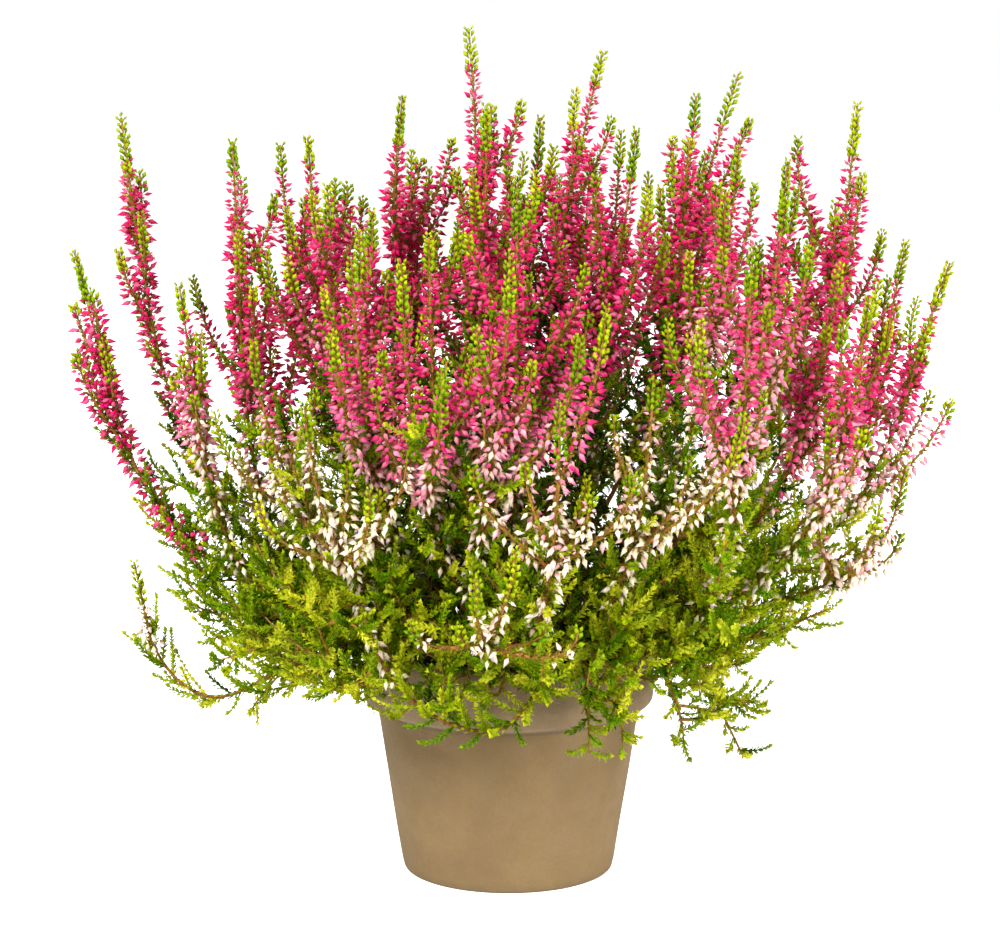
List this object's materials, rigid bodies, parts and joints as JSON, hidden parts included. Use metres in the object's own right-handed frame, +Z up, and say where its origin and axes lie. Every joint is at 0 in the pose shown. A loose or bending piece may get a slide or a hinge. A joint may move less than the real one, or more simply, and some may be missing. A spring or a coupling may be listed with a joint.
{
  "type": "potted heather",
  "caption": "Bushy bud-flowering heather with upright magenta to white spikes over leafy stems, in a tapered clay pot with a rolled rim.",
  "frame": {"origin": "middle of the pot's base, on the surface that it stands on", "axes": "+Z up along the pot's axis, +X to the right as seen from the front, -Y towards the front"},
  "size_m": [0.3468, 0.2997, 0.342],
  "materials": {
    "clay": "matte",
    "peat": "rough",
    "stems_and_leaves": "matte",
    "crimson_buds": "satin",
    "pink_buds": "satin",
    "white_buds": "satin"
  },
  "bodies": {
    "root": {"pot": "clay", "peat": "peat", "branches_centre": "stems_and_leaves", "branches_1": "stems_and_leaves", "branches_2": "stems_and_leaves", "branches_3": "stems_and_leaves", "branches_4": "stems_and_leaves", "branches_5": "stems_and_leaves", "branches_6": "stems_and_leaves", "branches_7": "stems_and_leaves", "branches_8": "stems_and_leaves", "bloom_01": "crimson_buds", "bloom_02": "pink_buds", "bloom_03": "pink_buds", "bloom_04": "crimson_buds", "bloom_05": "crimson_buds", "bloom_06": "crimson_buds", "bloom_07": "crimson_buds", "bloom_08": "pink_buds", "bloom_09": "pink_buds", "bloom_10": "crimson_buds", "bloom_11": "crimson_buds", "bloom_12": "pink_buds", "bloom_13": "pink_buds", "bloom_14": "crimson_buds", "bloom_15": "crimson_buds", "bloom_16": "pink_buds", "bloom_17": "crimson_buds", "bloom_18": "crimson_buds", "bloom_19": "crimson_buds", "bloom_20": "crimson_buds", "bloom_21": "crimson_buds", "bloom_22": "crimson_buds", "bloom_23": "crimson_buds", "bloom_24": "crimson_buds", "bloom_25": "crimson_buds", "bloom_26": "crimson_buds", "bloom_27": "crimson_buds", "bloom_28": "crimson_buds", "bloom_29": "crimson_buds", "bloom_30": "pink_buds", "bloom_31": "pink_buds", "bloom_32": "pink_buds", "bloom_33": "pink_buds", "bloom_34": "pink_buds", "bloom_35": "pink_buds", "bloom_36": "pink_buds", "bloom_37": "white_buds", "bloom_38": "pink_buds", "bloom_39": "pink_buds", "bloom_40": "white_buds", "bloom_41": "pink_buds", "bloom_42": "pink_buds", "bloom_43": "crimson_buds", "bloom_44": "crimson_buds", "bloom_45": "crimson_buds", "bloom_46": "pink_buds", "bloom_47": "pink_buds", "bloom_48": "white_buds", "bloom_49": "white_buds"}
  },
  "joints": []
}
